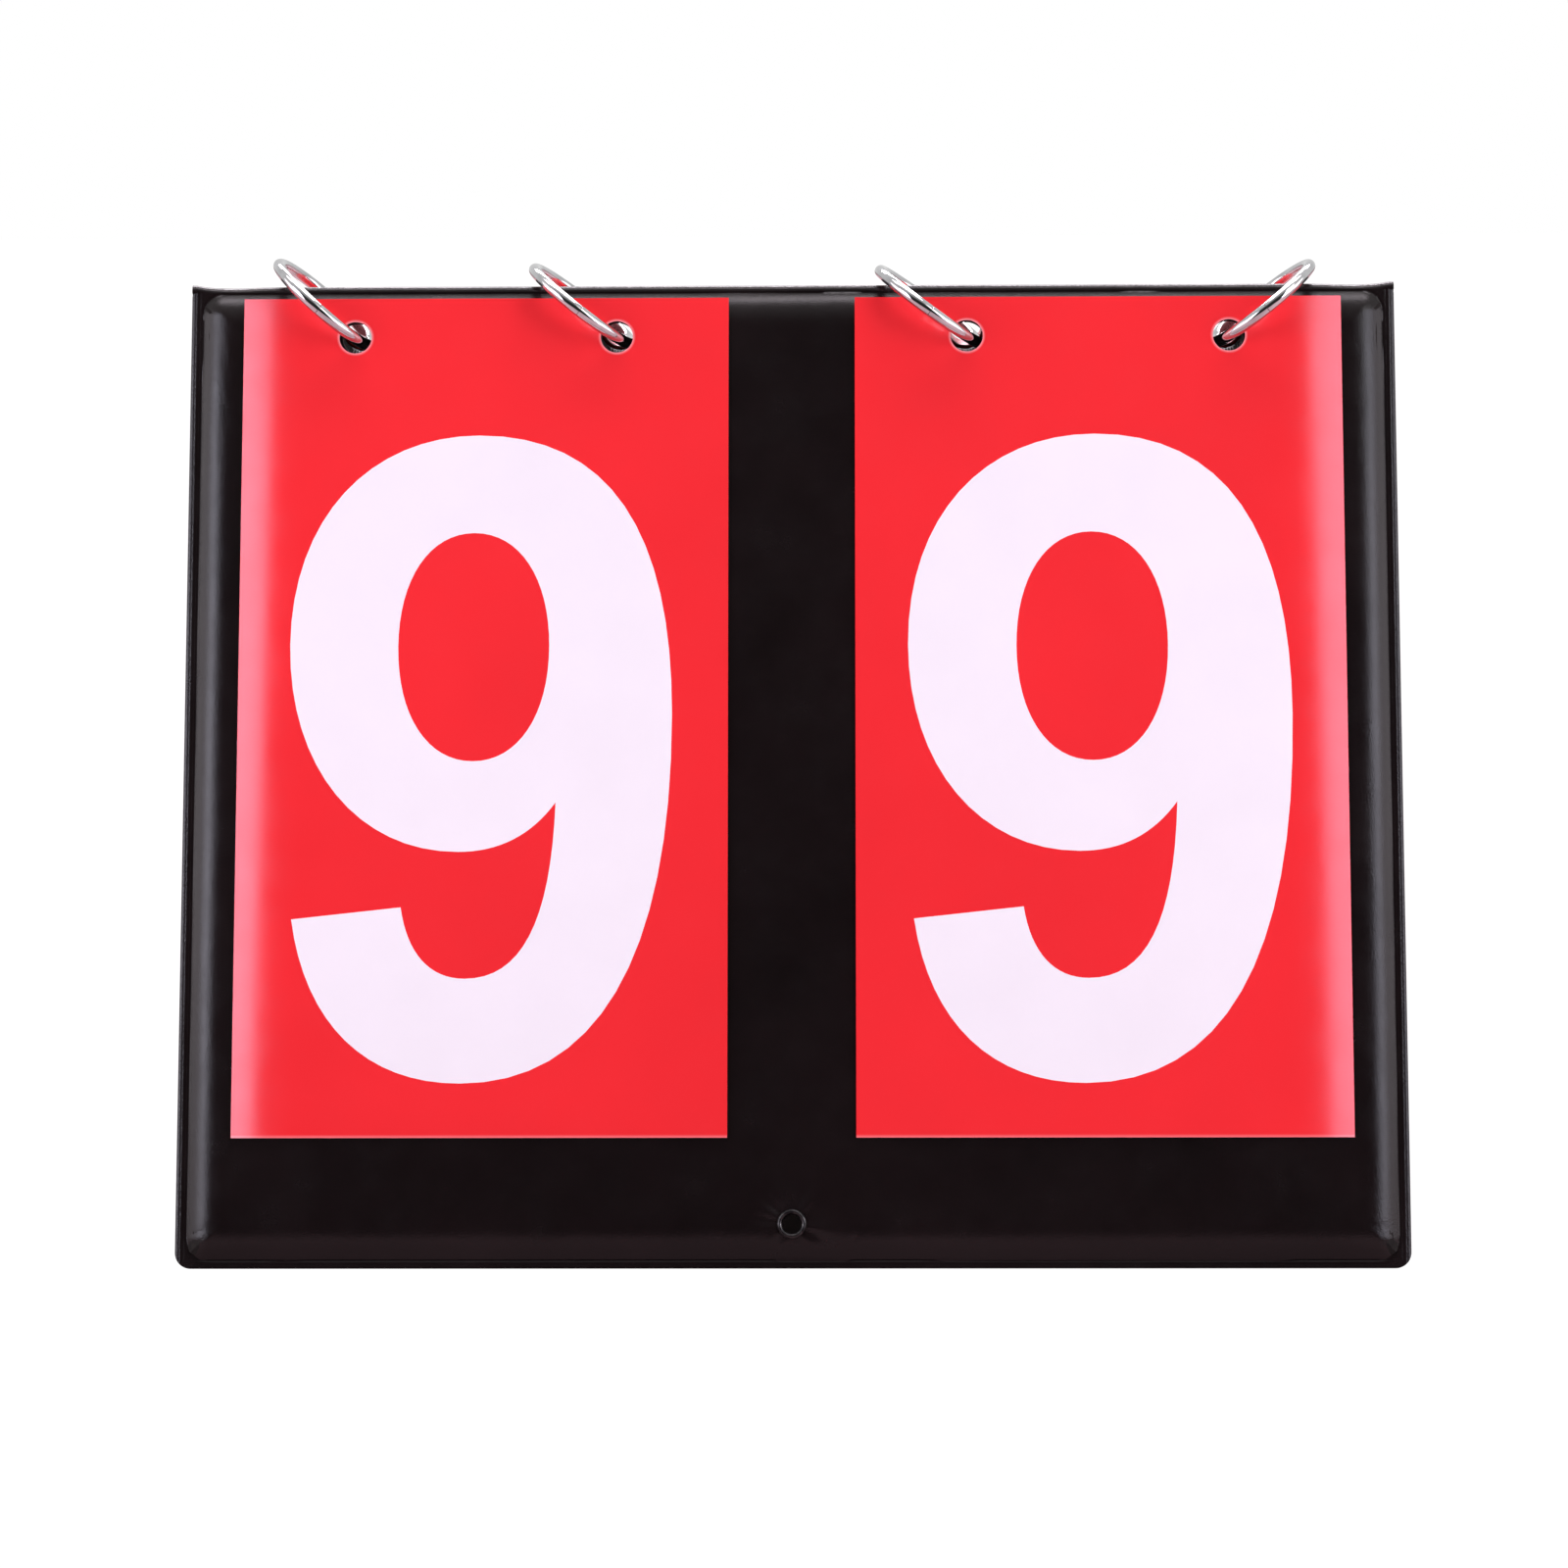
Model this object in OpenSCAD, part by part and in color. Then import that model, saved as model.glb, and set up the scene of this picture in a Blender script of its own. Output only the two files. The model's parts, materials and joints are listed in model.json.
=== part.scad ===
// Tabletop flip scoreboard: two padded panels joined by a flexible spine stand as a tent,
// and two sets of loose number cards turn over four steel book rings.
// +Z is up, the front faces -Y, and the origin is on the table under the middle of the tent.

/* [Panels] */
// Width of both panels, over the welded edge
panel_w = 225; // [205:1:260]
// Height of a panel along its slope
panel_h = 182; // [172:1:220]
// Thickness of a padded panel
panel_t = 3.4; // [2.9:0.1:4.2]
// Lean of each panel from upright
lean = 18; // [15:0.5:22]
// Thickness of the cover and of the lining sheet
sheet_t = 0.6; // [0.4:0.05:0.7]
// Width of the flat welded edge
weld_w = 1.6; // [1.2:0.1:2.2]
// Width of the rounded shoulder inside the weld
shoulder_w = 4.1; // [3:0.1:5]
// Radius of the bottom corners
corner_r = 3; // [2:0.5:8]
// Clearance between the board and its cover
board_air = 0.1; // [0.05:0.05:0.2]
// Gap from the fold line to a panel's inner face
fold_gap = 0.15; // [0.1:0.05:0.4]

/* [Cards] */
// Width of a card
card_w = 90.5; // [80:0.5:95]
// Height of a card
card_h = 156.5; // [140:0.5:165]
// Thickness of a card
card_t = 0.2; // [0.16:0.02:0.24]
// Air between two cards in a stack
card_air = 0.08; // [0.06:0.01:0.1]
// Gap from a panel's face to the nearest card
card_seat = 0.35; // [0.25:0.05:0.5]
// How far a set's centre line stands outside the middle of its half of the board
set_shift = 0.75; // [0:0.05:1.5]
// Distance from the fold line down to the top edge of a card
card_top = 1.9; // [1.5:0.1:2.4]
// Diameter of a card's ring hole
card_hole_d = 6; // [5.8:0.1:7]
// Distance from a card's top edge to its hole centres
hole_drop = 7.4; // [7:0.1:8]
// Distance between the two holes of a card
hole_pitch = 48.8; // [40:0.2:60]

/* [Rings] */
// Mean diameter of a ring
ring_d = 22.6; // [22.4:0.2:26]
// Diameter of the ring wire
wire_d = 2.2; // [1.8:0.1:2.4]
// Lean of each ring from upright, positive to the left
ring_leans = [48, 52, 54, -51];
// Height of the lean axis above the middle of the ring holes
ring_lift = 1.25; // [0.9:0.05:1.5]
// How far outside a panel's face the wire crosses the lean axis
ring_out = 1.3; // [1.1:0.05:1.5]
// Diameter of the rivet through the ring's knuckle
rivet_d = 0.9; // [0.6:0.1:1.2]
// Width of the knuckle tongue on the upper half
tongue_w = 0.8; // [0.6:0.05:1]
// How far the knuckle swells past the wire
knuckle_swell = 0.25; // [0.2:0.05:0.4]
// Running clearance in the knuckle
knuckle_gap = 0.08; // [0.05:0.01:0.12]
// Size of the tooth that locks a ring's free end
tooth_l = 0.9; // [0.7:0.1:1.1]
// Clearance round the tooth
tooth_air = 0.06; // [0.04:0.01:0.1]
// Diameter of the ring holes through the panels
panel_hole_d = 7; // [6.6:0.1:8]

/* [Eyelets] */
// Bore of an eyelet
eyelet_bore_d = 3.5; // [3:0.1:4]
// Outside diameter of its rolled rim
eyelet_rim_d = 5.4; // [5:0.1:6.4]
// Height of the rolled rim above the cover
eyelet_rim_h = 0.5; // [0.3:0.05:0.8]
// Thickness of the eyelet's metal
eyelet_wall = 0.35; // [0.25:0.05:0.45]
// Distance from the bottom edge to the eyelet's centre
eyelet_up = 8; // [7.5:0.5:12]

/* [Hidden] */
$fn = 64;

// One card for each digit
cards = 10;

weld_t = 2 * sheet_t;
pad_rise = panel_t - weld_t;
// Arc that runs level into the face and meets the weld at an angle
shoulder_r = (pad_rise * pad_rise + shoulder_w * shoulder_w) / (2 * pad_rise);
// The foot of each panel is cut level across the whole weld
fold_z = panel_h * cos(lean) - (fold_gap + weld_t) * sin(lean);
face_z = fold_gap + panel_t;
card_pitch = card_t + card_air;
hole_s = card_top + hole_drop;
set_x = panel_w / 4 + set_shift;
// Every card turns about one line above the ridge, where the middle planes of both stacks meet
stack_mid = card_seat + (cards - 1) / 2 * card_pitch + card_t / 2;
flip_z = fold_z + (face_z + stack_mid) / sin(lean);
ring_r = ring_d / 2;
wire_r = wire_d / 2;
// The wire crosses the lean axis at both ends of a chord through the holes
half_chord = hole_s * sin(lean) + (face_z + ring_out) * cos(lean);
ring_axis_z = ring_lift - hole_s * cos(lean);
ring_rise = sqrt(ring_r * ring_r - half_chord * half_chord);
knuckle_r = wire_r + knuckle_swell;
cut = 0.5;

leather = [0.11, 0.1, 0.1];
card_red = [0.9, 0.06, 0.08];
greyboard = [0.55, 0.52, 0.47];
chrome = [0.8, 0.81, 0.83];
gunmetal = [0.16, 0.16, 0.17];

// A panel is drawn flat: X across, Y up the slope from the fold line, Z out of its inner face
module on_front() {
    translate([0, 0, fold_z]) rotate([90 - lean, 0, 0]) children();
}

module on_back() {
    mirror([0, 1, 0]) on_front() children();
}

module above_table() {
    intersection() {
        children();
        translate([-panel_w, -panel_h, 0]) cube([2 * panel_w, 2 * panel_h, 2 * panel_h]);
    }
}

module panel_outline(inset) {
    r = corner_r - min(inset, corner_r / 2);
    w = panel_w - 2 * inset;
    h = panel_h - inset;
    difference() {
        translate([-w / 2, -h]) square([w, h]);
        for (side = [-1, 1])
            translate([side * (w / 2 - r), -h + r]) mirror([side < 0 ? 1 : 0, 0])
                difference() {
                    translate([0, -r]) square([r, r]);
                    circle(r);
                }
    }
}

// Half of this profile is one shoulder, a level arc that ends on the weld
module pad_profile(span, skin) {
    middle = span - 2 * shoulder_w;
    top = face_z - skin;
    intersection() {
        translate([-span / 2, fold_gap + weld_t]) square([span, pad_rise - skin]);
        union() {
            translate([-middle / 2, 0]) square([middle, top]);
            for (side = [-1, 1])
                translate([side * middle / 2, face_z - shoulder_r]) circle(shoulder_r - skin);
        }
    }
}

// The padded block: both shoulder profiles crossed, with the outline's round corners
module pad(skin, from_z) {
    span_x = panel_w - 2 * weld_w;
    span_y = panel_h - 2 * weld_w;
    reach = sqrt(pow(shoulder_r - skin, 2) - pow(shoulder_r - pad_rise, 2));
    narrow = shoulder_w - reach;
    intersection() {
        translate([0, 0, fold_gap]) linear_extrude(panel_t) panel_outline(weld_w + narrow);
        translate([0, -panel_h / 2, 0]) union() {
            intersection() {
                rotate([90, 0, 0]) linear_extrude(panel_h, center = true) pad_profile(span_x, skin);
                rotate([90, 0, 90]) linear_extrude(panel_w, center = true) pad_profile(span_y, skin);
            }
            translate([narrow - span_x / 2, narrow - span_y / 2, from_z])
                cube([span_x - 2 * narrow, span_y - 2 * narrow, fold_gap + weld_t - from_z]);
        }
    }
}

module hole_row(d, low, high) {
    for (side = [-1, 1], hole = [-1, 1])
        translate([side * set_x + hole * hole_pitch / 2, -hole_s, low]) cylinder(d = d, h = high - low);
}

module eyelet_hole(d) {
    translate([0, eyelet_up - panel_h, -cut]) cylinder(d = d, h = face_z + 2 * cut);
}

module lining() {
    difference() {
        translate([0, 0, fold_gap]) linear_extrude(sheet_t) panel_outline(0);
        hole_row(panel_hole_d, 0, face_z);
        eyelet_hole(eyelet_bore_d + 2 * eyelet_wall);
    }
}

module cover() {
    difference() {
        union() {
            translate([0, 0, fold_gap + sheet_t]) linear_extrude(sheet_t) panel_outline(0);
            pad(0, fold_gap + sheet_t);
        }
        pad(sheet_t, fold_gap + sheet_t);
        hole_row(panel_hole_d, 0, face_z + cut);
        eyelet_hole(eyelet_bore_d + 2 * eyelet_wall);
    }
}

module board() {
    difference() {
        intersection() {
            pad(sheet_t + board_air, fold_gap + sheet_t);
            translate([-panel_w / 2, -panel_h, fold_gap + sheet_t])
                cube([panel_w, panel_h, panel_t - 2 * sheet_t - board_air]);
        }
        hole_row(panel_hole_d, 0, face_z);
        eyelet_hole(eyelet_bore_d + 2 * eyelet_wall + board_air);
    }
}

// A flanged tube: rolled rim in front, clinched flat on the lining
module eyelet() {
    bore_r = eyelet_bore_d / 2;
    tube_r = bore_r + eyelet_wall;
    rim_r = eyelet_rim_d / 2;
    roll_r = (rim_r - bore_r) / 2;
    clinch_t = eyelet_wall;
    translate([0, eyelet_up - panel_h, 0]) rotate_extrude() {
        translate([bore_r, fold_gap - clinch_t]) square([eyelet_wall, panel_t + clinch_t + eyelet_rim_h / 2]);
        translate([bore_r, fold_gap - clinch_t]) square([rim_r - bore_r, clinch_t]);
        intersection() {
            translate([bore_r + roll_r, face_z + eyelet_rim_h - roll_r]) circle(roll_r);
            translate([bore_r, face_z]) square([rim_r - bore_r, roll_r]);
        }
    }
}

module below_top_edge() {
    translate([-panel_w, -panel_w, -panel_w]) cube([2 * panel_w, panel_w, 2 * panel_w]);
}

// The two sheets run on from panel to panel round the fold line
module spine() {
    color(leather) difference() {
        translate([0, 0, fold_z]) rotate([0, 90, 0])
            cylinder(r = fold_gap + weld_t, h = panel_w, center = true);
        translate([0, 0, fold_z]) rotate([0, 90, 0])
            cylinder(r = fold_gap, h = panel_w + cut, center = true);
        on_front() below_top_edge();
        on_back() below_top_edge();
    }
}

module front_cover() color(leather) above_table() on_front() cover();
module front_lining() color(leather) above_table() on_front() lining();
module front_board() color(greyboard) on_front() board();
module front_eyelet() color(gunmetal) on_front() eyelet();
module back_cover() color(leather) above_table() on_back() cover();
module back_lining() color(leather) above_table() on_back() lining();
module back_board() color(greyboard) on_back() board();
module back_eyelet() color(gunmetal) on_back() eyelet();
module spine_cover() spine();

// A card lies this far out from the panel's face
module card_at(level) {
    color(card_red) translate([0, 0, face_z + level]) linear_extrude(card_t) difference() {
        translate([-card_w / 2, -card_top - card_h]) square([card_w, card_h]);
        for (side = [-1, 1]) translate([side * hole_pitch / 2, -hole_s]) circle(d = card_hole_d);
    }
}

// The last card of a set is shown in front, and the ones before it are turned to the back
module card(side, number) {
    shown = number == cards - 1;
    level = card_seat + (shown ? 0 : number * card_pitch);
    translate([side * set_x, 0, 0]) {
        if (shown) on_front() card_at(level);
        else on_back() card_at(level);
    }
}

// A ring lies in its own XZ plane with the knuckle at +X, and leans over in the holes
module on_ring(n) {
    hole_x = (n < 3 ? -1 : 1) * set_x + (n % 2 == 1 ? -1 : 1) * hole_pitch / 2;
    translate([hole_x, 0, fold_z + ring_axis_z]) rotate([0, -ring_leans[n - 1], 0])
        translate([0, 0, ring_rise]) rotate([0, 0, 90]) children();
}

module half_ring(upper) {
    rotate([90, 0, 0]) rotate([0, 0, upper ? 0 : 180]) rotate_extrude(angle = 180)
        translate([ring_r, 0]) circle(wire_r, $fn = 32);
}

module knuckle_disc(r, w) {
    translate([ring_r, 0, 0]) rotate([90, 0, 0]) cylinder(r = r, h = w, center = true);
}

// Two cheeks on the lower half hold the tongue of the upper half
module ring_lower(n) {
    color(chrome) on_ring(n) difference() {
        union() {
            half_ring(false);
            knuckle_disc(knuckle_r, wire_d);
        }
        knuckle_disc(knuckle_r + knuckle_gap, tongue_w + 2 * knuckle_gap);
        translate([ring_r, 0, 0]) rotate([90, 0, 0]) cylinder(d = rivet_d, h = 2 * wire_d, center = true);
        // The free end is notched to take the upper half's tooth
        translate([-ring_r, 0, 0]) cube([tooth_l + 2 * tooth_air, tooth_l + 2 * tooth_air, tooth_l], center = true);
    }
}

module ring_upper(n) {
    color(chrome) on_ring(n) difference() {
        union() {
            half_ring(true);
            knuckle_disc(knuckle_r, tongue_w);
            translate([-ring_r, 0, 0]) cube([tooth_l, tooth_l, tooth_l - 2 * tooth_air], center = true);
        }
        for (side = [-1, 1])
            translate([ring_r, side * (tongue_w / 2 + wire_r), 0]) rotate([90, 0, 0])
                cylinder(r = knuckle_r + knuckle_gap, h = wire_d, center = true);
        translate([ring_r, 0, 0]) rotate([90, 0, 0])
            cylinder(d = rivet_d + 2 * knuckle_gap, h = wire_d, center = true);
    }
}

module ring_pin(n) {
    color(chrome) on_ring(n) translate([ring_r, 0, 0]) rotate([90, 0, 0])
        cylinder(d = rivet_d, h = wire_d, center = true);
}

front_cover();
front_lining();
front_board();
front_eyelet();
back_cover();
back_lining();
back_board();
back_eyelet();
spine_cover();
for (set = [["left", -1], ["right", 1]], n = [0:cards - 1])
    card(set[1], n);
for (n = [1:4]) {
    ring_lower(n);
    ring_upper(n);
    ring_pin(n);
}
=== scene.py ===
import json
import math

import bmesh
import bpy
from bpy.props import FloatProperty, FloatVectorProperty, IntProperty, PointerProperty
from mathutils import Matrix, Vector, noise


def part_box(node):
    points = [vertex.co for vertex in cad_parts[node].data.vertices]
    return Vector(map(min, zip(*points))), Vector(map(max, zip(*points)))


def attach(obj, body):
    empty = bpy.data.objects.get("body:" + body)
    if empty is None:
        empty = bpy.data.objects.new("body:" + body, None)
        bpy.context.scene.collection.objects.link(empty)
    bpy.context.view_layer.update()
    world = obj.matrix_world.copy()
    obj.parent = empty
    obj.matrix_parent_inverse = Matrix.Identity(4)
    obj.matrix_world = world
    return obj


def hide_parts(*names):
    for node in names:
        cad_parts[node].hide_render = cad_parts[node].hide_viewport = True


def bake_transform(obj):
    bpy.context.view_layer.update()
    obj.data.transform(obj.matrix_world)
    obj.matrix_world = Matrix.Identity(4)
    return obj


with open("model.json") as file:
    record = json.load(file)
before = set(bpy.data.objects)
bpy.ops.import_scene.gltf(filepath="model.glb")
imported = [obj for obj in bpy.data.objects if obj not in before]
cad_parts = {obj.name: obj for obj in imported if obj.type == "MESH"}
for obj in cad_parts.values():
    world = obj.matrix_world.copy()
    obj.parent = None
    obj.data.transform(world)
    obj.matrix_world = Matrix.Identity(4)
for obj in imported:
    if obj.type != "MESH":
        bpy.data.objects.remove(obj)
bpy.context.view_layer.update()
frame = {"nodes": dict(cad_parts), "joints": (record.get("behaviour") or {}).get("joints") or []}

bl_info = {
    "name": "Flip Scoreboard",
    "version": (1, 0, 0),
    "blender": (4, 5, 0),
    "location": "View3D > Sidebar > Scoreboard",
    "description": "Dresses a tabletop flip scoreboard with padded covers, number cards and book rings",
    "category": "Add Mesh",
}

MM = 0.001
FOLD_Z = next(joint for joint in frame["joints"] if joint["name"] == "fold")["pos_m"][2] / MM
PANEL_W = (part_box("front_lining")[1].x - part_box("front_lining")[0].x) / MM
PANEL_SIDES = {"front": -1, "back": 1}
CARD_SIDES = {"left": -1, "right": 1}
DIGITS = range(10)
SHOWN = 9
RINGS = range(1, 5)

# Details that a user would leave alone: lengths in mm, an angle in degrees, counts, powers and colours

SHARP_ANGLE = 38
GRID_STEP = 2.0
PAD_CORNER = 4.2
SHOULDER_REACH = 1.85
SHOULDER_POWER = 2.9
LIP_WIDTH = 1.1
LIP_ROLL = 0.32
WELD_GROOVE = 0.1
WELD_LINES = (0.75, 1.5)
WELD_LINE_DEPTH = 0.05
WELD_LINE_WIDTH = 0.16
PUCKER_REACH = 22
PUCKER_DISH = 0.14
PUCKER_RAYS = 0.075
BOTTOM_CREASES = (
    (10.5, 3.2, 1.25, -0.14), (-14.0, 2.6, 1.9, -0.05), (47.0, 3.0, 1.7, -0.045), (-61.0, 3.4, 1.35, -0.045))
SPINE_STEPS = 20
EYELET_WALL = 0.35
EYELET_HOLE_ROOM = 0.4
EYELET_SINK = 0.06
PRINT_SHIFT = {"left": -0.4, "right": -0.2}
WIRE_SEGMENTS = 28
WIRE_CHAMFER = 0.1
WIRE_END_GAP = 0.01
ARC_STEPS = 44
CHEEK_STEPS = 8
NECK_SLIM = 0.98
TOOTH_BEVEL = 0.08
PIN_PROUD = 0.02
CURL_REACH = 11.5
CURL_POWER = 1.8
CURL_DEPTH = 2.4
CAMERA_TARGET = (0, -28, 88)
SENSOR_WIDTH = 36

WHITE = (1.0, 1.0, 1.0, 1.0)
# Pale pink painted highlight for the cards' cut sides, hole rims and lower edge
CARD_EDGE_HIGHLIGHT = (0.95, 0.42, 0.45, 1.0)
CARD_SHEEN = (1.0, 0.88, 1.0, 1.0)
# Colour the camera sees in the painted shadow on the floor inside the tent
PAINTED_FLOOR_SHADOW = (0.03, 0.021, 0.021, 1.0)
COOL = (0.93, 0.94, 1.12)
ROSY = (1.0, 0.91, 0.98)
PLAIN = (1.0, 1.0, 1.0)

# Sockets of a colour mix node, which have to be picked by number
MIX_A, MIX_B, MIX_OUT = 6, 7, 2

# Each lamp is a name, a place and a size in metres, a power in watts and a colour
LAMP_TARGET = (0, -0.03, 0.09)
LAMPS = (
    ("key_light", (0.0, 0.0, 1.36), (1.3, 0.32), 9.0, ROSY),
    ("left_window", (-1.02, -0.8, 0.55), (0.5, 0.6), 5.2, COOL),
    ("right_window", (0.98, -0.83, 0.55), (0.5, 0.6), 4.2, COOL),
    ("fill_light", (0.95, -0.9, 1.15), (0.6, 0.6), 3.2, PLAIN),
    ("left_side", (-0.85, -0.36, 0.32), (0.8, 0.5), 3.2, ROSY),
    ("right_side", (0.85, -0.36, 0.32), (0.8, 0.5), 3.0, ROSY),
    ("top_light", (0.0, 0.85, 1.1), (1.2, 0.3), 23, ROSY),
)


# Sizes and colours a user would change

def measure(name, description, default, unit="mm"):
    """A size that a user can change; its unit ends the description."""
    return FloatProperty(name=name, description=f"{description}, in {unit}", default=default)


def paint(name, description, default):
    return FloatVectorProperty(
        name=name, description=description, subtype="COLOR", size=3, min=0.0, max=1.0, default=default)


class BoardSizes(bpy.types.PropertyGroup):
    lean: measure("Lean", "Lean of each panel from upright", 18.0, "degrees")
    height: measure("Panel height", "Height of a panel along its slope", 182.0)
    thickness: measure("Panel thickness", "Thickness of the padded panel", 3.4)
    sheet: measure("Sheet thickness", "Thickness of the cover sheet", 0.6)
    fold_gap: measure("Fold gap", "Gap from the fold line to the inner face", 0.15)
    weld: measure("Side weld", "Width of the flat welded edge at the sides", 2.2)
    weld_low: measure("Bottom weld", "Width of the flat welded edge at the bottom", 1.5)
    weld_top: measure("Top weld", "Width of the flat edge below the spine", 0.35)
    shoulder: measure("Shoulder width", "Width of the rounded shoulder", 4.1)
    corner: measure("Bottom corner", "Radius of the two bottom corners", 3.0)
    top_corner: measure("Top corner", "Radius of the two top corners", 0.7)
    ring_hole: measure("Ring hole", "Diameter of the ring holes in the panels", 7.0)
    leather: paint("Leather", "Colour of the cover", (0.0056, 0.0034, 0.0036))


class CardSizes(bpy.types.PropertyGroup):
    width: measure("Card width", "Width of a card", 90.5)
    height: measure("Card height", "Height of a card", 156.5)
    thickness: measure("Card thickness", "Thickness of a card", 0.2)
    air: measure("Card air", "Air between two cards", 0.08)
    seat: measure("Card seat", "Gap from the panel to the nearest card", 0.35)
    top: measure("Card top", "Distance from the fold line to the card's top", 1.9)
    hole: measure("Card hole", "Diameter of a card's ring hole", 6.0)
    hole_drop: measure("Hole drop", "Distance from the card's top to its holes", 7.4)
    pitch: measure("Hole spacing", "Distance between a card's two holes", 48.8)
    offset: measure("Set offset", "Distance from the middle to a set's centre line", 57.0)
    ink_height: measure("Digit height", "Height of a printed digit", 120.5)
    ink_rise: measure("Digit rise", "Distance from the card's bottom to the digit", 9.9)
    ink_film: measure("Ink film", "Thickness of the printed ink", 0.02)
    red: paint("Card red", "Colour of the cards", (0.78, 0.0235, 0.0305))
    ink: paint("Ink", "Colour of the digits", (0.81, 0.775, 0.83))


class FittingSizes(bpy.types.PropertyGroup):
    eyelet_bore: measure("Eyelet bore", "Bore of an eyelet", 3.5)
    eyelet_rim: measure("Eyelet rim", "Outside diameter of the rolled rim", 5.4)
    eyelet_rise: measure("Rim height", "Height of the rolled rim above the cover", 0.5)
    eyelet_up: measure("Eyelet height", "Distance from the bottom edge to the eyelet", 8.0)
    ring_mean: measure("Ring diameter", "Mean diameter of a ring", 22.6)
    wire: measure("Wire", "Diameter of the ring wire", 2.2)
    ring_leans: FloatVectorProperty(
        name="Ring leans", description="How far each ring leans over, left to right, in degrees", size=4,
        default=(48.0, 52.0, 54.0, -51.0))
    ring_lift: measure("Ring lift", "Height of the wire above the hole's centre", 1.25)
    ring_out: measure("Ring out", "Distance from a panel's face to the crossing wire", 1.3)
    tongue: measure("Tongue", "Width of the tongue in a ring's knuckle", 0.8)
    swell: measure("Knuckle swell", "How far the knuckle swells past the wire", 0.25)
    gap: measure("Knuckle gap", "Running clearance in the knuckle", 0.08)
    rivet: measure("Rivet", "Diameter of the knuckle's rivet", 0.9)
    tooth: measure("Tooth", "Size of the tooth at the free end", 0.9)


class StageSettings(bpy.types.PropertyGroup):
    distance: measure("Camera distance", "From the board's middle to the camera", 841.6)
    azimuth: measure("Azimuth", "Camera azimuth", -0.845, "degrees")
    elevation: measure("Elevation", "Camera elevation", 10.079, "degrees")
    roll: measure("Roll", "Camera roll", -0.268, "degrees")
    focal: FloatProperty(
        name="Focal", description="Focal length in pixels of the photo's frame", default=4648.4)
    centre_x: FloatProperty(name="Centre X", description="Image column of the lens axis", default=808.15)
    centre_y: FloatProperty(name="Centre Y", description="Image row of the lens axis", default=779.04)
    frame_px: IntProperty(name="Frame", description="Width of the photo's frame in pixels", default=1600)


SETTINGS = (
    ("scoreboard_board", BoardSizes),
    ("scoreboard_cards", CardSizes),
    ("scoreboard_fittings", FittingSizes),
    ("scoreboard_stage", StageSettings),
)


def board():
    return bpy.context.scene.scoreboard_board


def cards():
    return bpy.context.scene.scoreboard_cards


def fittings():
    return bpy.context.scene.scoreboard_fittings


# Places on the tent

def panel_matrix(side):
    """From a panel drawn flat in mm to the standing tent in metres; side is -1 in front, 1 behind."""
    lean = math.radians(board().lean)
    up = Vector((0, -side * math.sin(lean), math.cos(lean)))
    out = Vector((0, side * math.cos(lean), math.sin(lean)))
    across = Vector((1, 0, 0))
    turn = Matrix((across, up, out)).transposed().to_4x4()
    return Matrix.Translation((0, 0, FOLD_Z * MM)) @ turn @ Matrix.Scale(MM, 4)


def face_z():
    """How far a panel's face is from the plane through the fold line."""
    return board().fold_gap + board().thickness


def hole_s():
    """How far down the slope the ring holes are from the fold line."""
    return cards().top + cards().hole_drop


def hole_places():
    """Centres of the four ring holes on a flat panel."""
    half = cards().pitch / 2
    return [Vector((side * cards().offset + step * half, -hole_s(), 0))
            for side in (-1, 1) for step in (-1, 1)]


def eyelet_place():
    return Vector((0, fittings().eyelet_up - board().height, 0))


def card_level(number):
    """How far the nearer face of a card is from the panel's face."""
    return cards().seat + (0 if number == SHOWN else number * (cards().thickness + cards().air))


# Objects and meshes

def put(name, data):
    """A new object, linked to the scene."""
    made = bpy.data.objects.new(name, data)
    bpy.context.scene.collection.objects.link(made)
    return made


def add_piece(name, mesh, finish, body, smooth=True):
    """An object that rides on a body and takes the finish's material."""
    piece = put(name, mesh)
    mesh.materials.append(material(finish))
    if smooth:
        mesh.shade_smooth()
    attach(piece, body)
    return piece


def dress_node(node, finish):
    """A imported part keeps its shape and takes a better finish."""
    mesh = frame["nodes"][node].data
    mesh.materials.clear()
    mesh.materials.append(material(finish))


def stand_up(mesh, side, place=(0, 0, 0)):
    """Moves a mesh that is drawn flat in mm to its place on the standing panel."""
    mesh.transform(panel_matrix(side) @ Matrix.Translation(place))
    if side > 0:
        mesh.flip_normals()


def sharpen(mesh, degrees):
    """Marks the edges that turn more than this, so that smooth shading stops there."""
    builder = bmesh.new()
    builder.from_mesh(mesh)
    limit = math.radians(degrees)
    for edge in builder.edges:
        edge.smooth = len(edge.link_faces) != 2 or edge.calc_face_angle(0) < limit
    builder.to_mesh(mesh)
    builder.free()


def mesh_from_bmesh(name, builder):
    mesh = bpy.data.meshes.new(name)
    builder.to_mesh(mesh)
    builder.free()
    return mesh


def closed_mesh(name, builder):
    """The mesh of one or more closed solids, with every face turned outwards."""
    bmesh.ops.recalc_face_normals(builder, faces=builder.faces)
    return mesh_from_bmesh(name, builder)


def evaluated_mesh(maker):
    """The final mesh of an object, which is then removed."""
    bpy.context.view_layer.update()
    graph = bpy.context.evaluated_depsgraph_get()
    mesh = bpy.data.meshes.new_from_object(maker.evaluated_get(graph))
    bpy.data.objects.remove(maker)
    return mesh


def bridge(builder, loops, caps=True):
    """Joins each loop of points to the next with faces, and closes both ends."""
    for here, there in zip(loops, loops[1:]):
        for step in range(len(here)):
            after = (step + 1) % len(here)
            builder.faces.new((here[step], here[after], there[after], there[step]))
    if caps:
        builder.faces.new(loops[0][::-1])
        builder.faces.new(loops[-1])


# Materials

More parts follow.
